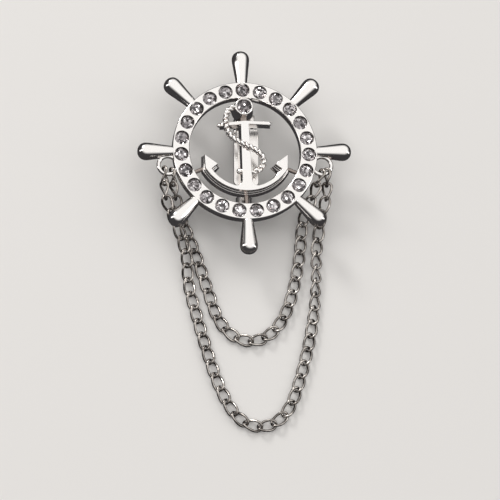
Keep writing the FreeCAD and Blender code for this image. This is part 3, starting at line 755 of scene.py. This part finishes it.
def makePinStem():
    bm = bmesh.new()
    radius, start, end, point = pin["stem"]
    stem = [(0, start), (radius, start), (radius, end)]
    stem += [(radius * 0.7, (end + point) / 2), (0.08, point + 0.02), (0, point)]
    spinProfile(bm, [(x, 0, z) for x, z in stem], 20, (0, 0, 1))
    centre, length, outer, inner = pin["catch"]
    section = roundedRect(outer - inner, length, pin["catchCorner"])
    spinProfile(bm, [(x + (outer + inner) / 2, 0, z + centre) for x, z in section], 40, (0, 0, 1), True)
    lay = Matrix.Translation((0, 0, pin["axis"])) @ Matrix.Rotation(math.radians(-90), 4, "X")
    return pinPiece("pinStem", bm, lay)


makeRim()
makeGrips()
makeEars()
makeAnchor()
makeBridges()
makeCup()
makeRope()
makePinPlate()
makePinHinge()
makePinStem()


# half length, half width and twist of a link's middle line, and the least height it keeps
link = {"length": 1.7, "width": 0.93, "twist": 0.42, "wire": 0.233, "steps": 36, "rest": 0.004}


def linkMesh():
    line = []
    for k in range(link["steps"]):
        t = 2 * math.pi * k / link["steps"]
        x, y = link["length"] * math.cos(t), link["width"] * math.sin(t)
        line.append(Vector((x, y, link["twist"] * math.sin(2 * t))))
    return tubeMesh("link", [line], link["wire"], True)


def looseParts(mesh):
    # the vertices of each separate link of a chain's node
    bm = bmesh.new()
    bm.from_mesh(mesh)
    bmesh.ops.remove_doubles(bm, verts=bm.verts, dist=1e-7)
    left = set(bm.verts)
    parts = []
    for first in bm.verts:
        if first not in left:
            continue
        left.remove(first)
        queue = [first]
        part = []
        while queue:
            vert = queue.pop()
            part.append(vert.co.copy())
            for edge in vert.link_edges:
                other = edge.other_vert(vert)
                if other in left:
                    left.remove(other)
                    queue.append(other)
        parts.append(np.array(part))
    bm.free()
    return parts


def makeChain(name, node):
    # every round link takes the place of the node's plainer one
    shape = linkMesh()
    bm = bmesh.new()
    for part in looseParts(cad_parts[node].data):
        middle = part.mean(axis=0)
        spread = (part - middle).T @ (part - middle)
        axes = np.linalg.eigh(spread)[1][:, ::-1]
        if np.linalg.det(axes) < 0:
            axes[:, 2] *= -1
        placed = shape.copy()
        wheelCentred = (middle / mm) - np.array([0, wheelY, 0])
        matrix = Matrix([list(row) for row in axes]).to_4x4()
        matrix.translation = Vector(wheelCentred)
        placed.transform(matrix)
        sunk = link["rest"] - min(v.co.z for v in placed.vertices)
        if sunk > 0:
            placed.transform(Matrix.Translation((0, 0, sunk)))
        bm.from_mesh(placed)
        bpy.data.meshes.remove(placed)
    return newPiece(name, bm, chainMetal, [node], 80)


makeChain("longSwag", "outer_chain")
makeChain("shortSwag", "inner_chain")

for name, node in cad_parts.items():
    if "stone" in name:
        node.data.materials.clear()
        node.data.materials.append(crystal)

studio = {
    "floor": (0.80, 0.79, 0.775, 1),
    "floorSize": 3,
    "grain": {"fine": 900, "relief": 0.05, "depth": 0.05 * mm},
    "target": (0, 0, 0.006),
    # a wide soft dome of light about one direction, and what surrounds it
    "domeAim": (0.137, 0.315, 0.939),
    "dome": (1.04, 1.02, 1.0, 1),
    "around": (0.045, 0.043, 0.045, 1),
    "domeEdge": (0.22, 0.78),
    # name: direction from the brooch, distance in metres, width, height, watts, colour
    "panels": {
        "keyPanel": ((-0.45, 0.75, 0.5), 0.9, 0.22, 0.22, 2.4, (1.0, 0.985, 0.965)),
        "leftStrip": ((-0.93, 0.1, 0.36), 0.9, 0.2, 0.9, 1.1, (1.0, 0.97, 0.95)),
        "rightStrip": ((0.93, -0.1, 0.34), 0.9, 0.2, 0.9, 0.9, (1.0, 0.98, 0.97)),
    },
}


def makeStudio():
    bm = bmesh.new()
    bmesh.ops.create_grid(bm, x_segments=2, y_segments=2, size=studio["floorSize"])
    mesh = bpy.data.meshes.new("floor")
    bm.to_mesh(mesh)
    bm.free()
    floor = bpy.data.objects.new("floor", mesh)
    bpy.context.scene.collection.objects.link(floor)
    g = Graph(bpy.data.materials.new("paleFloor"))
    grain = g.noise(studio["grain"]["fine"], 3)
    relief = g.relief(studio["grain"], grain)
    rough = g.ramp(grain, 0.3, 0.7, 0.6, 0.7)
    mesh.materials.append(g.finish(Base_Color=studio["floor"], Roughness=rough, Normal=relief))
    floor.visible_glossy = False
    target = Vector(studio["target"])
    for name, (direction, distance, width, height, watts, colour) in studio["panels"].items():
        data = bpy.data.lights.new(name, "AREA")
        data.shape = "RECTANGLE"
        data.size, data.size_y = width, height
        data.energy = watts
        data.color = colour
        light = bpy.data.objects.new(name, data)
        toward = Vector(direction).normalized()
        light.location = target + toward * distance
        light.rotation_euler = toward.to_track_quat("Z", "Y").to_euler()
        bpy.context.scene.collection.objects.link(light)
    g = Graph(bpy.data.worlds.new("studio"))
    towards = g.add("TexCoord", output="Generated")
    facing = g.add("VectorMath", {"operation": "DOT_PRODUCT"}, [towards, studio["domeAim"]], "Value")
    low, high = studio["domeEdge"]
    share = g.add("MapRange", {"interpolation_type": "SMOOTHSTEP"}, [facing, low, high, 0, 1])
    glow = g.add("Background", {}, {"Color": g.blend(share, studio["around"], studio["dome"])})
    g.output("World", glow)
    bpy.context.scene.world = g.owner
    bpy.context.scene.view_settings.view_transform = "Standard"


view = {
    "azimuth": -23.55,
    "elevation": 69.92,
    "roll": 22.24,
    "distance": 500,
    "field": 10.43,
    "aim": (0.01, -19.5),  # across and up from the wheel's centre
}


def makeCamera():
    azimuth, elevation = math.radians(view["azimuth"]), math.radians(view["elevation"])
    back = Vector(
        (
            math.sin(azimuth) * math.cos(elevation),
            -math.cos(azimuth) * math.cos(elevation),
            math.sin(elevation),
        )
    )
    right = (-back).cross(Vector((0, 0, 1))).normalized()
    up = right.cross(-back)
    roll = math.radians(view["roll"])
    level = right * math.cos(roll) + up * math.sin(roll)
    upright = up * math.cos(roll) - right * math.sin(roll)
    across, above = view["aim"]
    target = Vector((across, wheelY + above, rim["face"])) * mm
    data = bpy.data.cameras.new("camera")
    data.lens = data.sensor_width / 2 / math.tan(math.radians(view["field"]) / 2)
    data.clip_start = 0.01
    camera = bpy.data.objects.new("camera", data)
    camera.matrix_world = Matrix.Translation(target + back * view["distance"] * mm) @ Matrix(
        (level, upright, back)
    ).transposed().to_4x4()
    bpy.context.scene.collection.objects.link(camera)
    bpy.context.scene.camera = camera


makeStudio()
makeCamera()
print("studio and camera made")
